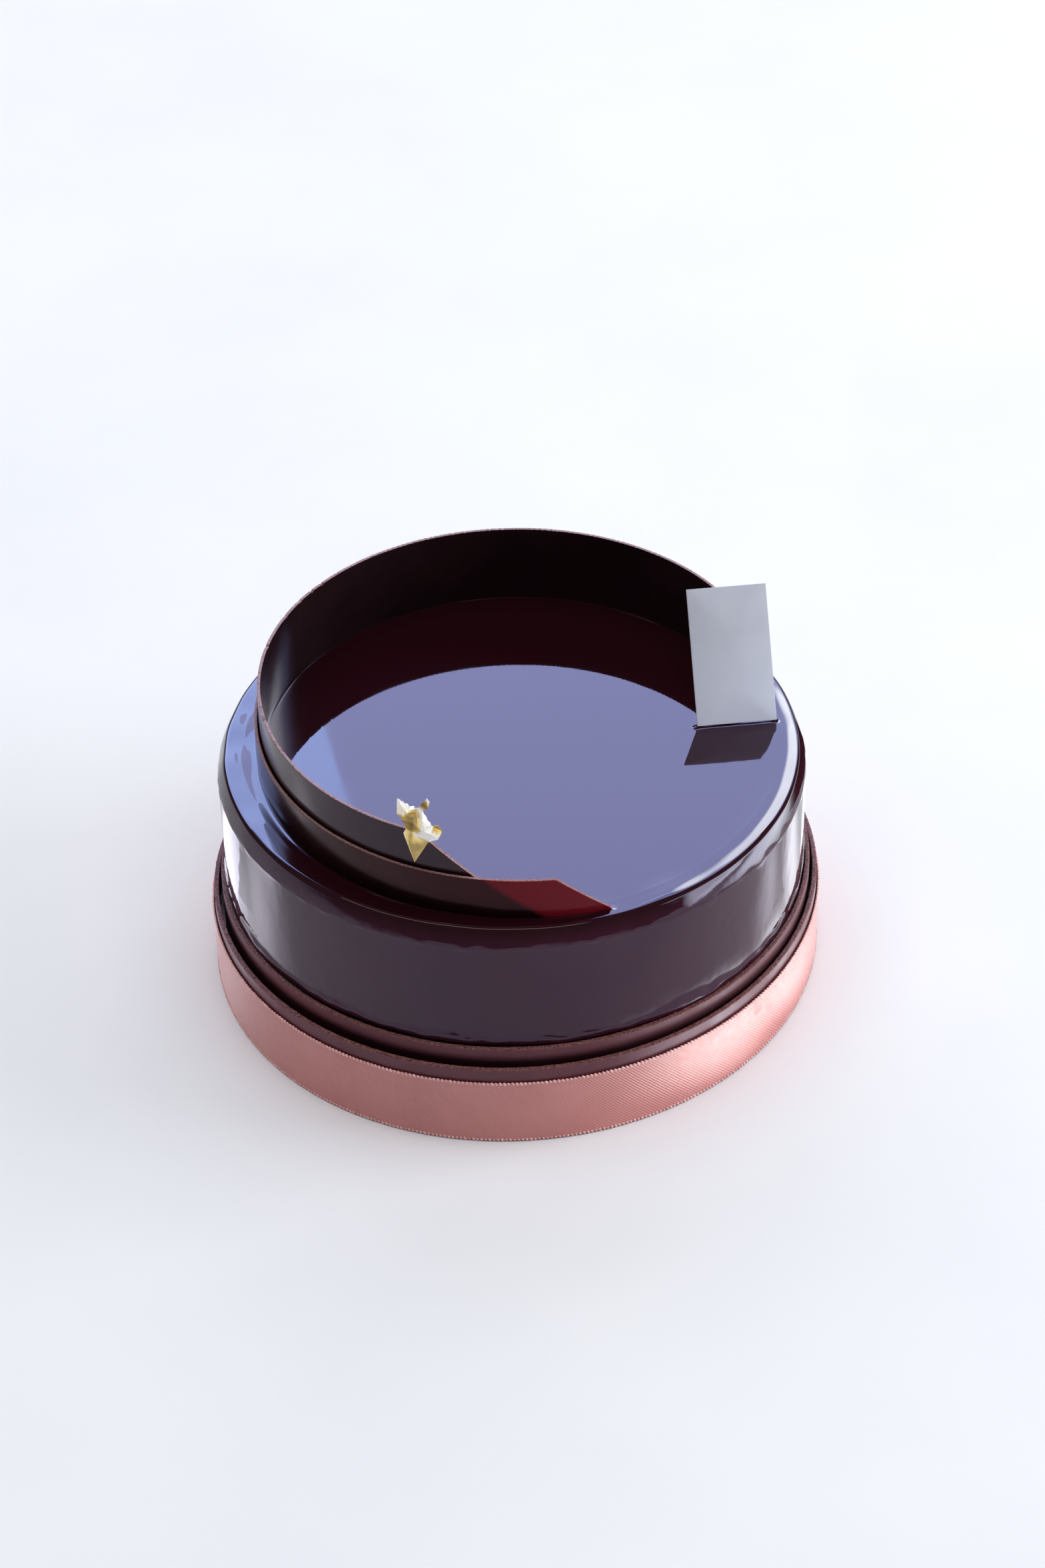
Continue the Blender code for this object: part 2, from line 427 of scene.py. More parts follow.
# The curled strips' path, shared by the strips, the flake of gold and the glaze at their feet

cakeTop = 70.5
gap = 0.3
stripPath = {
    "footRadius": 70.6,
    "lean": -0.02,
    "opening": 0.070,  # mm outwards for each degree
    "openingStart": 196.0,
    "openingEase": 10.0,
    "layer": 1.2,
    "thickness": 0.9,
}
tallStrip = {
    "height": 24.6, "start": 20.8, "footEnd": 273.8, "topEnd": 249.8, "layers": 0,
    "chipDepth": 0.16, "nicks": 1.0, "bow": 0.0, "seed": 11,
}
lowStrip = {
    "height": 12.9, "start": 22.0, "footEnd": 289.2, "topEnd": 277.8, "layers": 1,
    "chipDepth": 0.10, "nicks": 0.0, "bow": 0.55, "seed": 23,
}


def stripRadius(angle, rise):
    pastStart = (angle - stripPath["openingStart"]) / stripPath["openingEase"]
    opened = stripPath["openingEase"] * np.log1p(np.exp(pastStart))
    return stripPath["footRadius"] + stripPath["lean"] * rise + stripPath["opening"] * opened


card = {
    "width": 22.8, "height": 38.9, "thickness": 0.6, "foot": (64.0, 5.2),
    "yaw": 5.5, "lean": 36.7, "rounding": 0.12,
    "board": ((0.47, 0.49, 0.56), (0.50, 0.52, 0.59)),
    "paintedBounceColour": (0.58, 0.62, 0.74), "paintedBounceLevel": (71.0, 92.0),  # painted light: paler and bluer towards its foot, as if lit by the glaze below
}


# The glaze: a mirror top with a flowing shoulder, a wavy wall and a bead at its foot

glaze = {
    "radius": 83.4,
    "shift": -0.3,
    "bends": ((90, 80, 1.6), (80, 24, 1.6), (24, 19, 54.0), (19, 0, 1.2)),  # from, to, radius
    "slope": 20.0,  # radius of the first bend where the top falls softly to its rim
    "slopeTurn": -15.0,
    "slopeReach": (0.55, 0.90),
    "creep": 0.2,  # how high the glaze climbs what stands in it
    "creepReach": 0.32,
    "shoulderWave": 0.17,
    "ledge": 0.17,
    "ledgeHeight": 65.1,
    "wallWave": 0.10,
    "bead": 0.42,
    "under": ((83.35, 30.35), (82.7, 30.1), (82.7, 15.0), (82.7, 0.3), (82.3, 0), (40, 0), (0, 0)),
    "turns": 470,
    # painted shade: the top's colour is set darker than the wall's, for the stronger light that falls on the
    # top
    "paintedShadeTopColour": (0.0150, 0.0023, 0.0045),
    "deepColour": (0.026, 0.0050, 0.0110),
    "warmColour": (0.036, 0.0070, 0.0140),
    "tint": (0.80, 0.72, 1.0),
    "roughness": (0.02, 0.045),
    "topLevel": (66.5, 70.0),  # where the wall's colour gives way to the top's darker one, painted shade on the top
    "waveLevel": (65.5, 69.0),  # where the small waves of the wall end
}


def glazeAngles(values):
    even = np.linspace(0, 360, values["turns"], endpoint=False)
    nearCard = np.arange(2.2, 7.2, 0.16)
    return np.radians(np.unique(np.round(np.concatenate([even, nearCard]), 3)))


# The profile at each turn, centre to foot: radius, height, and the outward direction there
def glazeProfile(values, turn):
    low, high = values["slopeReach"]
    slope = smoothStep(low, high, np.cos(turn - radians(values["slopeTurn"])))
    bends = []
    for number, (start, end, size) in enumerate(values["bends"]):
        sizes = size + (values["slope"] - size) * slope if number == 0 else np.full_like(turn, size)
        bends.append((radians(start), radians(end), sizes))
    reach = values["radius"] - sum(sizes * (cos(end) - cos(start)) for start, end, sizes in bends)
    one, none = np.ones_like(turn), np.zeros_like(turn)
    fixed = np.concatenate([np.linspace(0, 46, 4), np.arange(51.2, 54, 0.4), np.arange(54.5, 68, 1.6),
                            np.arange(69.2, 76, 0.34)])
    rows = [(r * one, cakeTop * one, none, one) for r in fixed]
    rows += [(76 + (reach - 76) * share, cakeTop * one, none, one) for share in np.linspace(0, 1, 12)]
    radius, height = reach, cakeTop * one
    for start, end, sizes in bends:
        across, below = radius - sizes * cos(start), height - sizes * sin(start)
        count = min(14, max(5, round(sizes.max() * (start - end) / 0.12)))
        for angle in np.linspace(start, end, count + 1)[1:]:
            outward, upward = cos(angle), sin(angle)
            rows.append((across + sizes * outward, below + sizes * upward, outward * one, upward * one))
        radius, height = rows[-1][:2]
    wall = np.concatenate([np.linspace(64.3, 58, 14), np.linspace(56, 37, 9), np.linspace(36, 31.0, 17)])
    rows += [(radius, z * one, one, none) for z in wall]
    return np.moveaxis(np.array(rows), 1, 0)


def gapToStrip(radius, angle, strip):  # distance to the strip's foot, in mm
    degrees = np.degrees(angle)
    middle = stripRadius(degrees, 0) + strip["layers"] * stripPath["layer"]
    aside = np.maximum(np.abs(radius - middle) - stripPath["thickness"] / 2, 0)
    beyond = np.maximum(np.maximum(strip["start"] - degrees, degrees - strip["footEnd"]), 0)
    return np.hypot(aside, np.radians(beyond) * middle)


def gapToLine(x, y, start, end):
    along = end - start
    length = np.hypot(*along)
    share = np.clip(((x - start[0]) * along[0] + (y - start[1]) * along[1]) / length ** 2, 0, 1)
    return np.hypot(x - start[0] - share * along[0], y - start[1] - share * along[1])


def glazeClimb(radius, angle, values):  # the rise of the glaze round what stands in it
    x, y = around(radius, angle)
    foot, half = np.array(card["foot"]), np.array(around(card["width"] / 2, radians(card["yaw"])))
    start, end = foot - half, foot + half
    reach = values["creepReach"]
    climb = np.exp(-gapToStrip(radius, angle, tallStrip) / reach)
    climb = np.maximum(climb, np.exp(-gapToStrip(radius, angle, lowStrip) / reach))
    climb = np.maximum(climb, np.exp(-np.maximum(gapToLine(x, y, start, end) - 0.3, 0) / reach))
    tipRadius = stripRadius(lowStrip["footEnd"], 0) + stripPath["layer"]
    tip = around(tipRadius, radians(lowStrip["footEnd"] + 0.5))
    for spot, size, rise in ((start, 0.8, 2.2), (end, 0.8, 2.2), (tip, 0.9, 0.3)):
        climb += rise * np.exp(-((x - spot[0]) ** 2 + (y - spot[1]) ** 2) / (2 * (0.55 * size) ** 2))
    return values["creep"] * climb


def makeGlazeMesh(values):
    turn = glazeAngles(values)
    radius, height, outward, upward = glazeProfile(values, turn)
    onTop = upward > 0.97
    swell = wobble(turn, 4, 9, 3)[None, :]
    lumps = wobble(turn, 10, 34, 5, 0.9)[None, :]
    fine = wobble(turn, 36, 90, 7, 0.6)[None, :]
    drips = wobble(turn, 14, 60, 9, 0.5)[None, :]
    # the shoulder swells and sags where the glaze ran over it
    rim = smoothStep(71.0, 79.5, radius) * smoothStep(46.0, 63.0, height)
    push = values["shoulderWave"] * rim * (0.55 * swell + 0.5 * lumps)
    ledge = values["ledgeHeight"] + 0.9 * lumps + 0.7 * fine - 1.1 * np.maximum(drips, 0)
    lip = values["ledge"] * (0.7 + 0.6 * np.clip(lumps, -1, 1))
    push = push + lip * rim * smoothStep(-0.45, 0.45, height - ledge)
    # long soft waves down the wall, each leaning a little as it falls
    wall = smoothStep(28.0, 36.0, height) * (1 - smoothStep(60.0, 69.0, height))
    lean = (height - 50) / 300
    for number, (fewest, most, size) in enumerate(((6, 12, 1.0), (14, 30, 0.35), (32, 70, 0.07))):
        high, low = wobble(turn, fewest, most, 31 + number), wobble(turn, fewest, most, 41 + number)
        share = smoothStep(34, 62, height + 90 * lean)
        push = push + values["wallWave"] * size * wall * (high * share + low * (1 - share))
    # the bead where the glaze settled on the ring
    spill = np.clip(0.5 + 0.9 * wobble(turn, 5, 16, 13, 0.4), 0.1, 1.3)[None, :]
    beadTop = 32.8 + 0.8 * spill + 0.5 * lumps + 0.6 * fine
    beadReach = 0.35 + 0.8 * spill
    bead = values["bead"] * (0.55 + 0.9 * spill + 0.25 * drips)
    push = push + bead * (1 - smoothStep(-beadReach, beadReach, height - beadTop))
    sideways = radius + outward * push
    level = height + upward * push
    # a low ridge inside the shoulder, and the climb at the strips and the card
    ridge = 0.03 * np.exp(-((radius - 75.8 - 0.5 * swell) / 0.7) ** 2) * (1 + 0.5 * lumps)
    climb = glazeClimb(radius, turn[None, :], values)
    level = level + np.where(onTop, ridge + climb, 0)
    edge = np.where(height < 31.4, 1.0, 0.0)
    level = level + edge * (0.25 * lumps + 0.18 * fine)
    x, y = around(sideways, turn)
    skin = np.stack([x + values["shift"], y, level], axis=2)
    # under the bead the glaze turns in, drops behind the rings and closes across the bottom
    hidden = []
    for reach, z in values["under"]:
        x, y = around(reach, turn)
        hidden.append(np.stack([x + values["shift"], y, np.full_like(turn, z)], axis=1))
    return loftMesh("glaze_body", np.concatenate([skin, np.array(hidden)]), False, True)


def makeGlazeMaterial(values):
    material, tree, shader = startMaterial("mirrorGlaze")
    point = objectPoint(tree)
    height = heightOf(tree, point)
    lowTop, highTop = values["topLevel"]
    lowWave, highWave = values["waveLevel"]
    cloud = noiseValue(tree, point, 22.0, 4.0)
    wall = ramp(tree, cloud, [(0.3, values["deepColour"]), (0.7, values["warmColour"])])
    level = valueRange(tree, height, lowTop * mm, highTop * mm, 0.0, 1.0)
    offTop = valueRange(tree, height, lowWave * mm, highWave * mm, 1.0, 0.0)
    haze = noiseValue(tree, point, 60.0, 5.0, 0.6)
    setInputs(shader, {
        # painted shade: the top takes a darker colour than the wall
        "Base Color": mixColours(tree, level, wall, values["paintedShadeTopColour"]),
        "Roughness": valueRange(tree, haze, 0.3, 0.75, *values["roughness"]),
        "IOR": 1.5, "Specular Tint": (*values["tint"], 1.0)})
    swirl = noiseValue(tree, objectPoint(tree, (1, 1, 0.4)), 30.0, 3.0, 0.5, 1.2)
    first = addBump(tree, shader, swirl, 0.00002, 0.5)
    ripple = noiseValue(tree, objectPoint(tree, (1, 1, 0.55)), 130.0, 2.0)
    addBump(tree, shader, calculate(tree, "MULTIPLY", ripple, offTop), 0.00020, 0.6, before=first)
    return material


glazeBody = linkPiece("glaze_body", makeGlazeMesh(glaze))
finishMesh(glazeBody.data, makeGlazeMaterial(glaze), 70)
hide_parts("glazed_cake")
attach(glazeBody, "root")
print("glaze ready")


# Chocolate for the rings and the strips

def makeChocolateMaterial(name, values):
    material, tree, shader = startMaterial(name)
    point = objectPoint(tree)
    patches = noiseValue(tree, point, 55.0, 5.0, 0.6)
    colour = ramp(tree, patches, [(0.3, values["dark"]), (0.7, values["light"])])
    cut = readAttribute(tree, "cutEdge")
    grit = noiseValue(tree, point, 1900.0, 3.0, 0.7)
    speckle = ramp(tree, grit, [(0.38, values["cutDark"]), (0.66, values["cutLight"])])
    if "shadeBelow" in values:
        # painted shade: below these heights the colour darkens towards shadeColour
        low, high = values["shadeBelow"]
        shade = valueRange(tree, heightOf(tree, point), low * mm, high * mm, 0.82, 0.0)
        colour = mixColours(tree, shade, colour, values["shadeColour"])
    if "paintedGlowColour" in values:  # painted glow: a red base colour, with real subsurface light, where back light would come past the tall strip's end
        glowShare = readAttribute(tree, "paintedGlowShare")
        colour = mixColours(tree, glowShare, colour, values["paintedGlowColour"])
        setInputs(shader, {
            "Subsurface Weight": glowShare, "Subsurface Radius": (1.0, 0.15, 0.2), "Subsurface Scale": 0.0014})
    bloom = noiseValue(tree, point, 140.0, 5.0, 0.65)
    gloss = valueRange(tree, bloom, 0.3, 0.72, *values["roughness"])
    setInputs(shader, {
        "Base Color": mixColours(tree, cut, colour, speckle),
        "Roughness": calculate(tree, "ADD", gloss, calculate(tree, "MULTIPLY", cut, 0.3)),
        "IOR": values["ior"], "Specular Tint": (*values["tint"], 1.0)})
    soft = addBump(tree, shader, noiseValue(tree, point, 260.0, 4.0), 0.00006, values["softBump"])
    share = calculate(tree, "ADD", cut, values["grain"])
    grain = calculate(tree, "MULTIPLY", noiseValue(tree, point, 2600.0, 2.0), share)
    addBump(tree, shader, grain, 0.00025, 0.8, before=soft)
    return material


ringFinish = {
    "dark": (0.095, 0.024, 0.029), "light": (0.125, 0.033, 0.039),
    "cutDark": (0.075, 0.022, 0.022), "cutLight": (0.27, 0.115, 0.105),
    "roughness": (0.36, 0.48), "tint": (0.85, 0.78, 1.0), "ior": 1.46, "softBump": 0.35, "grain": 0.12,
}
outerChocolate = makeChocolateMaterial("ringChocolate", ringFinish)
# painted shade on the inner ring's lower face, in the gap behind the outer ring
innerChocolate = makeChocolateMaterial("innerRingChocolate", dict(
    ringFinish, shadeBelow=(26.5, 28.9), shadeColour=(0.004, 0.001, 0.0015)))


# Rings: a cross-section swept round, with a rough cut rim

rings = {
    "inner_ring": {"radius": 85.4, "height": 31.0, "oval": 0.006, "rough": 0.20, "seed": 4, "crumbs": 900},
    "outer_ring": {"radius": 88.0, "height": 26.1, "oval": 0.013, "rough": 0.18, "seed": 8, "crumbs": 760},
}
ringMake = {
    "thickness": 1.4, "rounding": 0.3, "steps": 1500, "ovalTurn": 58.0,
    "roughDepth": 0.45, "grainScale": 1700.0, "crumb": (0.09, 0.20),
}


def ringSection(thickness, height, rounding):  # the cut across one ring, x outwards and y up
    half = thickness / 2
    points = [(-half, z) for z in (0.0, height * 0.5, height - 1.2, height - 0.6)]
    for middle, start in ((-half + rounding, 180), (half - rounding, 90)):
        for step in range(4):
            angle = radians(start - 30 * step)
            outward, upward = rounding * cos(angle), rounding * sin(angle)
            points.append((middle + outward, height - rounding + upward))
        if start == 180:
            points += [(x, height) for x in np.linspace(-half + 0.5, half - 0.5, 4)]
    points += [(half, z) for z in (height - 0.6, height - 1.2, height - 2.4, height * 0.5, 0.0)]
    return points


def sectionMesh(points):
    mesh = bpy.data.meshes.new("ringSection")
    count = len(points)
    edges = [(i, (i + 1) % count) for i in range(count)]
    mesh.from_pydata([(-x * mm, -z * mm, 0) for x, z in points], edges, [])
    return mesh


def ringTree():
    tree, given, end = startTree("sweptRing", {
        "Float": ("Radius", "Height", "Oval", "Turn", "Rim Roughness", "Rough Depth", "Grain Scale", "Seed"),
        "Int": ("Steps",)})
    section = addNode(tree, "GeometryNodeMeshToCurve", {0: given["Geometry"]})
    circle = addNode(tree, "GeometryNodeCurvePrimitiveCircle", {
        "Resolution": given["Steps"], "Radius": given["Radius"]})
    sweep = addNode(tree, "GeometryNodeCurveToMesh", {
        "Curve": circle.outputs["Curve"], "Profile Curve": section.outputs[0]})
    # the share of cut edge, from the height
    height = heightOf(tree, addNode(tree, "GeometryNodeInputPosition").outputs[0])
    below = calculate(tree, "SUBTRACT", given["Height"], height)
    share = valueRange(tree, below, 0.0, given["Rough Depth"], 1.0, 0.0)
    # grain pushes the rim about
    grain = addNode(tree, "ShaderNodeTexNoise", {
        "Scale": given["Grain Scale"], "W": given["Seed"], "Detail": 2.0, "Roughness": 0.6},
        noise_dimensions="4D")
    centred = calculateVector(tree, "SUBTRACT", grain.outputs["Color"], (0.5, 0.5, 0.56))
    amount = calculate(tree, "MULTIPLY", share, given["Rim Roughness"])
    push = calculateVector(tree, "SCALE", centred, amount)
    shift = addNode(tree, "GeometryNodeSetPosition", {"Offset": push})
    return finishTree(tree, given, end, sweep, keepCutEdge(tree, share), shift, ovalTransform(tree, given))


def crumbTree():
    tree, given, end = startTree("rimCrumbs", {
        "Float": ("Radius", "Height", "Oval", "Turn", "Spread", "Smallest", "Largest"),
        "Int": ("Count", "Seed")})
    circle = addNode(tree, "GeometryNodeCurvePrimitiveCircle", {"Resolution": 720, "Radius": given["Radius"]})
    spots = addNode(tree, "GeometryNodeCurveToPoints", {
        "Curve": circle.outputs["Curve"], "Count": given["Count"]}, mode="COUNT")
    lift = addNode(tree, "ShaderNodeCombineXYZ", {"Z": given["Height"]}).outputs[0]
    aside = randomVector(tree, {0: (-1.0, -1.0, -0.12), 1: (1.0, 1.0, 0.12), "Seed": given["Seed"]})
    offset = calculateVector(tree, "ADD", lift, calculateVector(tree, "SCALE", aside, given["Spread"]))
    shift = addNode(tree, "GeometryNodeSetPosition", {"Offset": offset})
    crumb = addNode(tree, "GeometryNodeMeshIcoSphere", {"Radius": 1.0, "Subdivisions": 1})
    size = randomNumber(tree, {2: given["Smallest"], 3: given["Largest"], "Seed": given["Seed"]})
    squash = randomVector(tree, {0: (0.7, 0.7, 0.5), 1: (1.4, 1.4, 0.9)})
    put = addNode(tree, "GeometryNodeInstanceOnPoints", {
        "Instance": crumb.outputs[0], "Rotation": randomVector(tree, {1: (6.28, 6.28, 6.28)}),
        "Scale": calculateVector(tree, "SCALE", squash, size)})
    real = addNode(tree, "GeometryNodeRealizeInstances")
    return finishTree(tree, given, end, spots, shift, put, ovalTransform(tree, given), real,
                      keepCutEdge(tree, 1.0))


sweptRing = ringTree()
rimCrumbs = crumbTree()
for (nodeName, values), ringChocolate in zip(rings.items(), (innerChocolate, outerChocolate)):
    height, thickness = values["height"], ringMake["thickness"]
    shared = {
        "Radius": (values["radius"] - thickness / 2) * mm, "Oval": values["oval"],
        "Turn": radians(ringMake["ovalTurn"]), "Material": ringChocolate}
    section = sectionMesh(ringSection(thickness, height, ringMake["rounding"]))
    ring = runTree(nodeName + "_wall", section, sweptRing, {
        **shared, "Height": height * mm, "Rim Roughness": values["rough"] * 2 * mm,
        "Rough Depth": ringMake["roughDepth"] * mm, "Grain Scale": ringMake["grainScale"],
        "Seed": float(values["seed"]), "Steps": ringMake["steps"]}, ringChocolate, 50)
    smallest, largest = ringMake["crumb"]
    crumbs = runTree(nodeName + "_crumbs", bpy.data.meshes.new("noSeed"), rimCrumbs, {
        **shared, "Height": (height - 0.02) * mm, "Count": values["crumbs"], "Spread": thickness * 0.42 * mm,
        "Smallest": smallest * mm, "Largest": largest * mm, "Seed": values["seed"]}, ringChocolate, 40)
    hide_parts(nodeName)
    for piece in (ring, crumbs):
        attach(piece, "root")
print("rings ready")


# Ribbon: one length of satin pulled round the outer ring and lapped at the back

ribbon = {
    "radius": 88.5,  # middle of the cloth
    "foot": 0.45, "width": 21.3, "thickness": 0.22,
    "oval": 0.013, "ovalTurn": 58.0,
    "start": 36.0,  # in the oval's own turn, the back
    "lap": 9.0, "lapLift": 0.34,
    "stepLength": 1.2, "rows": 12,
    "wave": 0.06,
    "loopPitch": 1.14, "loop": (0.60, 0.34, 0.36), "loopSlant": 58.0,
    "twillPitch": 0.00072, "twillTurn": 137, "threadPitch": 0.000432,  # pitches in metres
    "shade": (0.52, 0.165, 0.150), "shine": (0.62, 0.225, 0.205),
    "between": (0.80, 0.74, 0.74),  # what the satin's colour is times, between the twill's lines
    "thread": ((0.68, 0.33, 0.31), (0.86, 0.54, 0.52)),
}


def ribbonPath(values):  # angle, radius and length along the cloth
    round360 = 2 * pi * values["radius"]
    length = round360 + values["lap"]
    along = np.linspace(0, length, int(length / values["stepLength"]) + 1)
    angle = along / values["radius"]
    over = smoothStep(round360 - 7.0, round360 - 1.5, along)
    return angle + radians(values["start"]), values["radius"] + values["lapLift"] * over, along


def ovalPlace(radius, angle, values):
    x, y = around(radius, angle)
    x, y = x * (1 + values["oval"]), y * (1 - values["oval"])
    spin = radians(values["ovalTurn"])
    return x * cos(spin) - y * sin(spin), x * sin(spin) + y * cos(spin)


def makeRibbonMesh(values):
    angle, radius, along = ribbonPath(values)
    half = values["thickness"] / 2
    heights = values["foot"] + values["width"] * np.linspace(0, 1, values["rows"])
    sides = [(z, half) for z in heights] + [(z, -half) for z in heights[::-1]]
    drift = values["wave"] * (np.sin(along / 23 + 1) + 0.6 * np.sin(along / 9.1))
    rows = []
    for z, side in sides:
        share = (z - values["foot"]) / values["width"]
        bow = 0.05 * sin(pi * share) + drift * (share - 0.3) ** 2
        x, y = ovalPlace(radius + side + bow, angle, values)
        rows.append(np.stack([x, y, np.full_like(x, z)], axis=1))
    mesh = loftMesh("satin_ribbon", np.array(rows), True, False, capEnds=True)
    # lengthways and crossways places on the cloth, for the weave
    count = len(along)
    place = np.zeros((len(sides) * count, 2))
    place[:, 0] = np.tile(along * mm, len(sides))
    place[:, 1] = np.repeat([z * mm for z, side in sides], count)
    cloth = mesh.uv_layers.new(name="cloth")
    corner = np.zeros(len(mesh.loops), int)
    mesh.loops.foreach_get("vertex_index", corner)
    cloth.data.foreach_set("uv", place[corner].ravel())
    return mesh


def makeSatinMaterial(values):
    material, tree, shader = startMaterial("roseSatin")
    cloth = addNode(tree, "ShaderNodeUVMap", uv_map="cloth").outputs["UV"]

    def weave(turn, pitch):
        mapping = addNode(tree, "ShaderNodeMapping", {"Vector": cloth, "Rotation": (0, 0, radians(turn))})
        return addNode(tree, "ShaderNodeTexWave", {
            "Vector": mapping.outputs["Vector"], "Scale": 0.314 / pitch, "Distortion": 0.4,
            "Detail": 1.0}).outputs["Fac"]

    twill = weave(values["twillTurn"], values["twillPitch"])
    threads = weave(0, values["threadPitch"])
    point = objectPoint(tree)
    base = ramp(tree, noiseValue(tree, point, 30.0, 4.0), [(0.3, values["shade"]), (0.7, values["shine"])])
    darker = mixColours(tree, 1.0, base, values["between"], "MULTIPLY")
    setInputs(shader, {
        "Base Color": mixColours(tree, valueRange(tree, twill, 0.0, 1.0, 0.45, 0.0), base, darker),
        "Roughness": noiseBetween(tree, point, 500.0, 0.38, 0.5),
        "Specular IOR Level": 1.0, "Anisotropic": 0.5, "Sheen Weight": 0.4, "Sheen Roughness": 0.3,
        "Sheen Tint": (1.0, 0.93, 0.93, 1.0)})
    first = addBump(tree, shader, twill, 0.00007, 0.8)
    addBump(tree, shader, threads, 0.00004, 0.3, before=first)
    return material


def selvedgePath(values):  # two open lines along the cloth's edges
    angle, radius, along = ribbonPath(values)
    mesh = bpy.data.meshes.new("selvedgePath")
    points, edges = [], []
    for z in (values["foot"] + 0.2, values["foot"] + values["width"] - 0.2):
        x, y = ovalPlace(radius + 0.05, angle, values)
        first = len(points)
        points += [(px * mm, py * mm, z * mm) for px, py in zip(x, y)]
        edges += [(first + i, first + i + 1) for i in range(len(x) - 1)]
    mesh.from_pydata(points, edges, [])
    return mesh


def selvedgeTree():
    tree, given, end = startTree("selvedgeLoops", {
        "Float": ("Pitch", "Slant"), "Vector": ("Loop Size",), "Int": ("Seed",)})
    edge = addNode(tree, "GeometryNodeMeshToCurve", {0: given["Geometry"]})
    spots = addNode(tree, "GeometryNodeCurveToPoints", {"Length": given["Pitch"]}, mode="LENGTH")
    tree.links.new(edge.outputs[0], spots.inputs[0])
    along = spots.outputs["Tangent"]
    facing = addNode(tree, "FunctionNodeAlignRotationToVector", {"Vector": along}, axis="X")
    slant = addNode(tree, "ShaderNodeCombineXYZ", {"Y": given["Slant"]})
    tilt = addNode(tree, "FunctionNodeEulerToRotation", {0: slant.outputs[0]})
    turned = addNode(tree, "FunctionNodeRotateRotation", {
        "Rotation": facing.outputs[0], "Rotate By": tilt.outputs[0]}, rotation_space="LOCAL")
    bead = addNode(tree, "GeometryNodeMeshUVSphere", {"Segments": 8, "Rings": 5, "Radius": 1.0})
    vary = randomNumber(tree, {2: 0.85, 3: 1.12, "Seed": given["Seed"]})
    put = addNode(tree, "GeometryNodeInstanceOnPoints", {
        "Instance": bead.outputs[0], "Rotation": turned.outputs[0],
        "Scale": calculateVector(tree, "SCALE", given["Loop Size"], vary)})
    return finishTree(tree, given, end, spots, put)


def makeThreadMaterial(values):
    material, tree, shader = startMaterial("roseThread")
    point = objectPoint(tree)
    dark, light = values["thread"]
    setInputs(shader, {
        "Base Color": ramp(tree, noiseValue(tree, point, 400.0), [(0.35, dark), (0.65, light)]),
        "Roughness": noiseBetween(tree, point, 900.0, 0.35, 0.55),
        "Sheen Weight": 0.3, "Sheen Roughness": 0.4})
    addBump(tree, shader, noiseValue(tree, point, 4000.0), 0.00004, 0.6)
    return material


satinRibbon = linkPiece("satin_ribbon", makeRibbonMesh(ribbon))
finishMesh(satinRibbon.data, makeSatinMaterial(ribbon), 50)
roseThread = makeThreadMaterial(ribbon)
selvedge = runTree("ribbon_selvedge", selvedgePath(ribbon), selvedgeTree(), {
    "Pitch": ribbon["loopPitch"] * mm, "Loop Size": tuple(s * mm for s in ribbon["loop"]),
    "Slant": radians(ribbon["loopSlant"]), "Seed": 5, "Material": roseThread,
}, roseThread, 60)
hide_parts("ribbon_band")
for piece in (satinRibbon, selvedge):
    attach(piece, "root")


# Strips: two thin curls of chocolate, cut on a slant

def makeStripMesh(name, strip):
    half = stripPath["thickness"] / 2
    draw = np.random.default_rng(strip["seed"])
    start, end = strip["start"], strip["footEnd"]
    count = int((end - start) * 4)
    share = np.linspace(0, 1, count)
    ups = np.concatenate([np.linspace(0, 0.9, 16), (0.95, 0.975, 0.99)])
    grid = []
    turn = np.radians(start + (end - start) * share)
    chips = strip["chipDepth"] * np.clip(wobble(turn, 200, 420, strip["seed"], 0.3), -1, 0.1)
    nicks = np.zeros_like(turn)
    for _ in range(16):
        middle, width, depth = draw.uniform(150, 245), draw.uniform(0.25, 0.7), draw.uniform(0.15, 0.5)
        nicks -= depth * np.exp(-((np.degrees(turn) - middle) / width) ** 2)
    chips = chips + nicks * strip["nicks"]
    wave = 0.05 * wobble(turn, 8, 30, strip["seed"] + 1)

    def column(up, side, drop=0.0):
        rise = strip["height"] * up
        angle = start + (end + (strip["topEnd"] - end) * up - start) * share
        # flares out, then stands straight
        bow = strip["bow"] * (smoothStep(-5.6, 5.6, np.array(rise)) - 0.8)
        radius = stripRadius(angle, rise) + strip["layers"] * stripPath["layer"] + side + wave * up + bow
        foot = cakeTop - 0.35 + (gap + 0.35) * min(1, up * 20)
        z = foot + rise + chips * smoothStep(0.93, 1.0, np.array(up)) - drop
        return np.stack([*around(radius, np.radians(angle)), z], axis=1)

    for up in ups:
        grid.append(column(up, half))
    for side, drop in ((half * 0.93, 0.05), (half * 0.45, 0.0), (-half * 0.45, 0.0), (-half * 0.93, 0.05)):
        grid.append(column(1.0, side + 0.04 * sin(side * 9), drop))
    for up in ups[::-1]:
        grid.append(column(up, -half))
    mesh = loftMesh(name, np.array(grid), True, False, capEnds=True)
    # the top edge and the slanted end are cut faces
    cut = np.zeros((len(grid), count))
    cut[len(ups):len(ups) + 4] = 1.0
    cut[:, 0] = 0.6
    cut[:, -1] = 1.0
    storeValues(mesh, "cutEdge", cut.ravel())
    # the share of painted glow: light would come through where the tall strip no longer stands behind, past
    # its slanted end
    x, y, z = np.moveaxis(np.array(grid), 2, 0)
    slope = (tallStrip["footEnd"] - tallStrip["topEnd"]) / tallStrip["height"]
    pastEnd = np.degrees(np.arctan2(y, x)) % 360 - tallStrip["footEnd"] + slope * (z - cakeTop - gap)
    storeValues(mesh, "paintedGlowShare", smoothStep(0.8, 3.6, pastEnd).ravel())
    return mesh


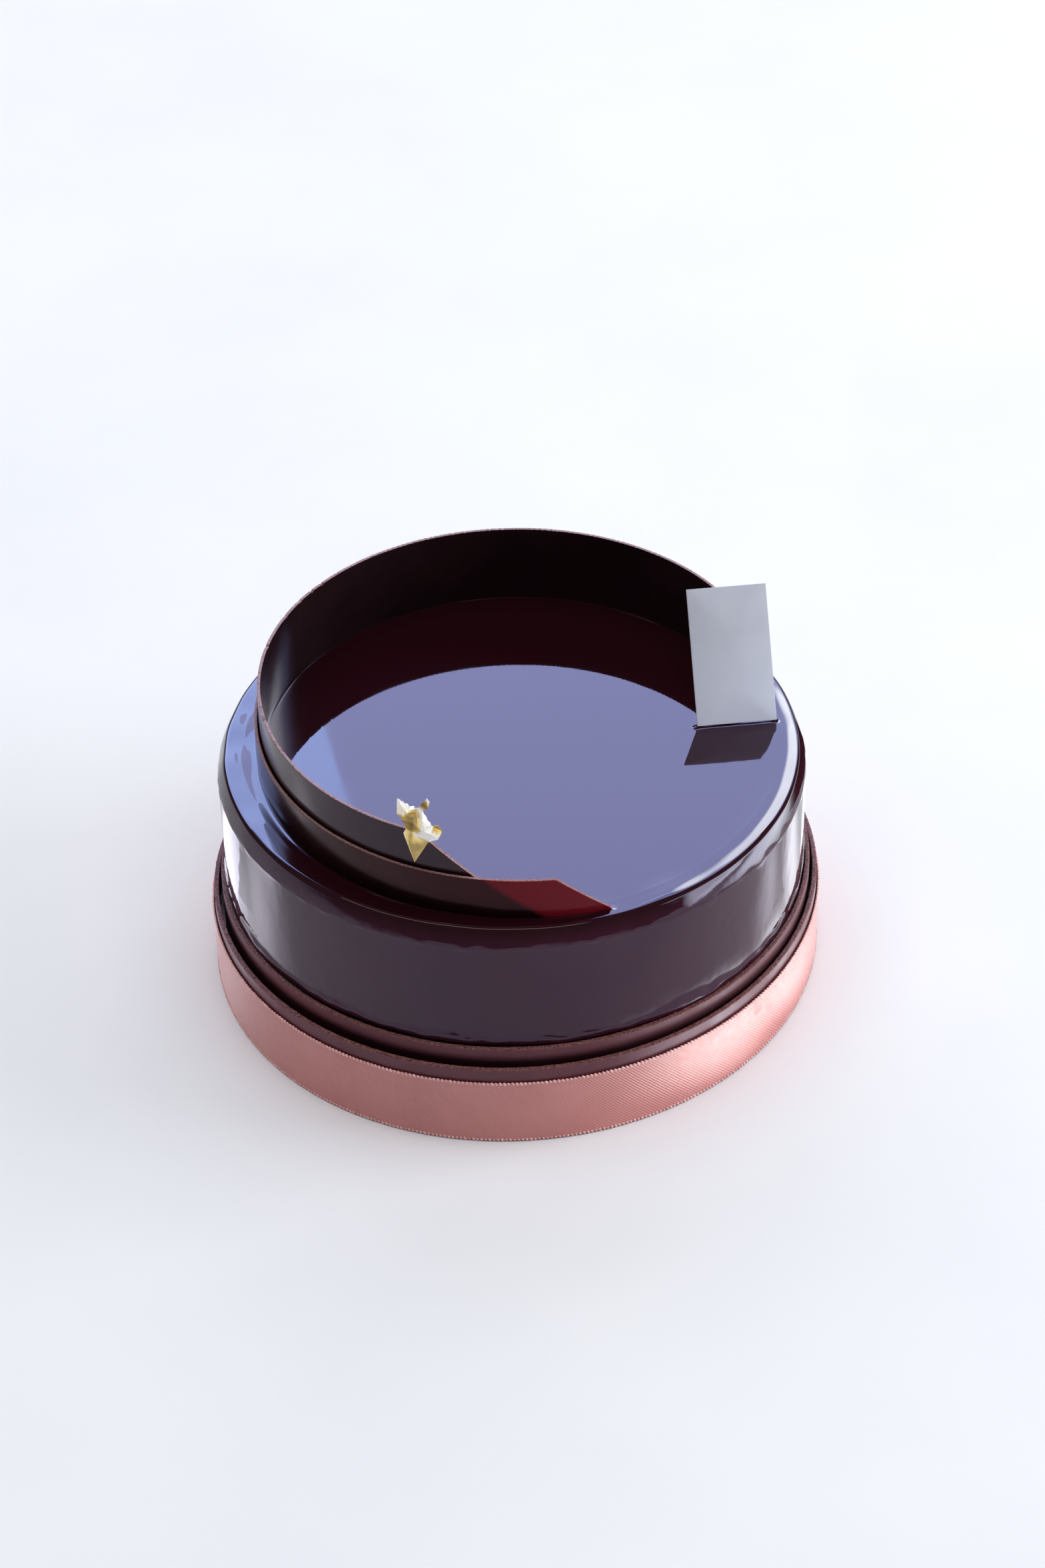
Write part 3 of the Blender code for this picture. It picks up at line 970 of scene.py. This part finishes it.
stripFinish = {
    "dark": (0.010, 0.0045, 0.0060), "light": (0.017, 0.0075, 0.0090),
    "cutDark": (0.15, 0.07, 0.065), "cutLight": (0.34, 0.20, 0.18),
    "roughness": (0.15, 0.22), "tint": (0.95, 0.70, 0.90), "ior": 1.42, "softBump": 0.12, "grain": 0.03,
}
# painted shade darkens the low strip towards its foot, and a painted red glow fills its end past the tall
# strip
lowFinish = dict(stripFinish, dark=(0.014, 0.0045, 0.0050), light=(0.021, 0.0070, 0.0075),
                 tint=(0.74, 0.25, 0.32), ior=1.36, paintedGlowColour=(0.150, 0.006, 0.013),
                 shadeBelow=(73.5, 79.0), shadeColour=(0.004, 0.001, 0.0015))
tallChocolate = makeChocolateMaterial("stripChocolate", stripFinish)
lowChocolate = makeChocolateMaterial("thinStripChocolate", lowFinish)
for name, strip, nodeName, finish in (("tall_strip", tallStrip, "tall_collar", tallChocolate),
                                      ("low_strip", lowStrip, "low_collar", lowChocolate)):
    piece = linkPiece(name, makeStripMesh(name, strip))
    finishMesh(piece.data, finish, 40)
    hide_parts(nodeName)
    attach(piece, "root")
print("strips ready")


# Gold: one crumpled flake, bent over the tall strip's edge

flake = {
    "angle": 249.9,
    "thickness": 0.08,
    "spacing": 0.26,
    "outline": (  # along the strip, up from its top edge, out from its face, and painted gleam: from painted shade to painted highlight
        (-0.4, -8.7, 2.2, 0.2), (-3.7, -0.9, 0.9, 0.8), (-3.0, 0.8, 0.8, 0.4), (-4.3, 2.7, 0.2, 0.3),
        (-5.6, 4.5, 0.3, 0.7), (-6.3, 8.0, -1.6, 1.0), (-0.3, 6.9, -1.2, 0.9), (0.5, 8.1, -1.6, 0.1),
        (2.0, 10.0, -2.2, 1.0), (2.9, 9.6, -1.4, 1.0), (2.5, 7.6, -0.9, 0.2), (1.1, 6.8, -0.8, 1.0),
        (3.9, 3.2, 0.3, 0.9), (5.4, 3.8, 0.0, 0.7), (6.8, 2.7, 0.9, 0.4), (5.8, 0.4, 1.9, 1.0),
        (4.0, -0.3, 2.4, 1.0), (3.0, -1.8, 1.4, 0.2)),
    "folds": (
        (-2.6, 6.3, 1.3, 0.8), (-1.5, 7.0, -0.1, 1.0), (-1.1, 5.4, -0.9, 0.3), (0.3, 5.5, 0.6, 0.6),
        (-1.5, 2.5, -0.2, 0.1), (1.8, 4.9, 1.2, 1.0), (0.1, 2.1, 0.8, 0.3), (4.3, 2.2, 2.6, 1.0),
        (2.5, 2.1, 2.4, 1.0), (4.5, 2.9, 0.6, 0.2), (0.1, 0.4, 2.0, 0.9), (-1.4, 0.5, 0.9, 0.2),
        (-1.6, -3.2, 1.7, 0.05), (1.3, -3.2, 1.9, 0.1)),
    "creases": ((28, 2.9, 0.04), (112, 2.1, 0.03)),  # direction, width, depth
    "paintedShadeGold": (0.42, 0.30, 0.11),
    "warm": (1.0, 0.76, 0.27),
    "paintedHighlightGold": (1.0, 0.99, 0.93),
    "seed": 6,
}


def foldOffset(u, v, values):  # flat facets between the folds, with fine creases over them
    corners = np.array(values["outline"] + values["folds"])
    ring = list(range(len(values["outline"])))
    flat, _, facets, *_ = delaunay_2d_cdt([Vector(c[:2]) for c in corners.tolist()], [], [ring], 1, 1e-4)
    raised = np.tile(corners[:, 2:].mean(axis=0)[:, None], len(u))
    closest = np.full_like(u, -1e9)
    for facet in facets:
        first, second, third = corners[list(facet)]
        (ax, ay), (bx, by), (cx, cy) = first[:2], second[:2], third[:2]
        area = (by - cy) * (ax - cx) + (cx - bx) * (ay - cy)
        nearFirst = ((by - cy) * (u - cx) + (cx - bx) * (v - cy)) / area
        nearSecond = ((cy - ay) * (u - cx) + (ax - cx) * (v - cy)) / area
        nearThird = 1 - nearFirst - nearSecond
        inside = np.minimum(np.minimum(nearFirst, nearSecond), nearThird)
        level = np.outer(first[2:], nearFirst) + np.outer(second[2:], nearSecond)
        level = level + np.outer(third[2:], nearThird)
        raised = np.where(inside > closest, level, raised)
        closest = np.maximum(closest, inside)
    offset, paintedGleam = raised
    for number, (turn, width, depth) in enumerate(values["creases"]):
        across = u * cos(radians(turn)) + v * sin(radians(turn))
        across = across + 0.3 * width * np.sin((u - v) / (1.9 * width) + 2.1 * number)
        offset = offset + depth * np.sin(2 * pi * (across / width + 0.37 * number))
    return offset, paintedGleam


def makeFlakeMesh(values):
    outline = np.array(values["outline"])[:, :2]
    rng = np.random.default_rng(values["seed"])
    ragged = []
    for start, end in zip(outline, np.roll(outline, -1, axis=0)):
        steps = max(2, int(np.hypot(*(end - start)) / values["spacing"]))
        for step in range(steps):
            wander = rng.uniform(-0.05, 0.05, 2) if step else (0, 0)
            ragged.append(start + (end - start) * step / steps + wander)
    ragged = np.array(ragged)
    low, high = ragged.min(axis=0), ragged.max(axis=0)
    inner = []
    for u in np.arange(low[0], high[0], values["spacing"]):
        for v in np.arange(low[1], high[1], values["spacing"]):
            inner.append((u + rng.uniform(-0.04, 0.04), v + rng.uniform(-0.04, 0.04)))
    points = [Vector(p) for p in ragged.tolist() + inner]
    ring = list(range(len(ragged)))
    flat, _, faces, *_ = delaunay_2d_cdt(points, [], [ring], 1, 1e-4)
    u, v = np.array([p.x for p in flat]), np.array([p.y for p in flat])
    rise = tallStrip["height"] + v
    angle = values["angle"] + np.degrees(u / stripPath["footRadius"])
    offset, paintedGleam = foldOffset(u, v, values)
    radius = stripRadius(angle, rise) + stripPath["thickness"] / 2 + offset
    x, y = around(radius, np.radians(angle))
    mesh = bpy.data.meshes.new("gold_flake")
    mesh.from_pydata(np.stack([x * mm, y * mm, (cakeTop + gap + rise) * mm], axis=1).tolist(), [], faces)
    # painted gleam, carried on to the gold's colour
    storeValues(mesh, "paintedGleam", paintedGleam)
    return mesh


def makeGoldMaterial(values):
    material, tree, shader = startMaterial("leafGold")
    point = objectPoint(tree)
    mottle = noiseBetween(tree, point, 420.0, -0.10, 0.10, detail=4.0)
    paintedGleam = calculate(tree, "ADD", readAttribute(tree, "paintedGleam"), mottle)
    # painted light: gleam takes the colour from a darker painted shade through gold to a near-white painted
    # highlight
    stops = [(0.12, values["paintedShadeGold"]), (0.55, values["warm"]), (0.9, values["paintedHighlightGold"])]
    setInputs(shader, {
        "Base Color": ramp(tree, paintedGleam, stops),
        "Metallic": valueRange(tree, paintedGleam, 0.5, 1.0, 0.75, 0.15),
        "Roughness": noiseBetween(tree, point, 700.0, 0.22, 0.38)})
    addBump(tree, shader, noiseValue(tree, point, 900.0), 0.00003, 0.15)
    return material


goldFlake = linkPiece("gold_flake", makeFlakeMesh(flake))
thicken = goldFlake.modifiers.new("thicken", "SOLIDIFY")
thicken.thickness = flake["thickness"] * mm
thicken.offset = 0.0
graph = bpy.context.evaluated_depsgraph_get()
goldFlake.data = bpy.data.meshes.new_from_object(goldFlake.evaluated_get(graph), depsgraph=graph)
goldFlake.modifiers.clear()
finishMesh(goldFlake.data, makeGoldMaterial(flake), 24)
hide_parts("gold_leaf")
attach(goldFlake, "root")
print("gold ready")


# Card: a bare slip of coated board that leans back on the tall strip

def makeCardMesh(values):
    half, thick, soft = values["width"] / 2, values["thickness"] / 2, values["rounding"]
    # across the thickness: a rounded edge from front to back
    section = []
    for middle, start in ((-thick + soft, 180), (thick - soft, 90)):
        for step in range(4):
            angle = radians(start - 30 * step)
            section.append((middle + soft * cos(angle), soft * sin(angle) - soft))
    rows = []
    for depth, inset in [(-thick, -half)] + section + [(thick, -half)]:
        w, h = half + inset, values["height"] / 2 + inset
        corners = []
        steps = 10
        for a, b in (((-w, -h), (w, -h)), ((w, -h), (w, h)), ((w, h), (-w, h)), ((-w, h), (-w, -h))):
            for s in range(steps):
                corners.append((a[0] + (b[0] - a[0]) * s / steps, a[1] + (b[1] - a[1]) * s / steps))
        rows.append([(x, depth, values["height"] / 2 + z) for x, z in corners])
    points = np.array(rows)
    points[:, :, 1] += 0.25 * (points[:, :, 0] / half) ** 2 * (points[:, :, 2] / values["height"]) * 0.6
    yaw = Matrix.Rotation(radians(values["yaw"]), 3, "Z")
    lean = Matrix.Rotation(radians(-values["lean"]), 3, "X")
    points = points @ np.array(yaw @ lean).T
    lift = values["thickness"] / 2 * sin(radians(values["lean"]))
    return loftMesh("blank_card", points + np.array((*values["foot"], cakeTop + gap + lift)), False, True)


def makeCardMaterial(values):
    material, tree, shader = startMaterial("coatedBoard")
    point = objectPoint(tree)
    bottom, top = values["paintedBounceLevel"]
    # painted light: the board turns paler and bluer towards its foot
    low = valueRange(tree, heightOf(tree, point), bottom * mm, top * mm, 0.7, 0.0)
    dark, light = values["board"]
    colour = ramp(tree, noiseValue(tree, point, 120.0, 5.0), [(0.35, dark), (0.65, light)])
    setInputs(shader, {
        "Base Color": mixColours(tree, low, colour, values["paintedBounceColour"]),
        "Roughness": noiseBetween(tree, point, 1200.0, 0.42, 0.55), "Specular IOR Level": 0.3, "IOR": 1.1})
    addBump(tree, shader, noiseValue(tree, point, 2500.0), 0.00003, 0.35)
    return material


blankCard = linkPiece("blank_card", makeCardMesh(card))
finishMesh(blankCard.data, makeCardMaterial(card), 35)
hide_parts("name_card")
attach(blankCard, "root")
print("card ready")
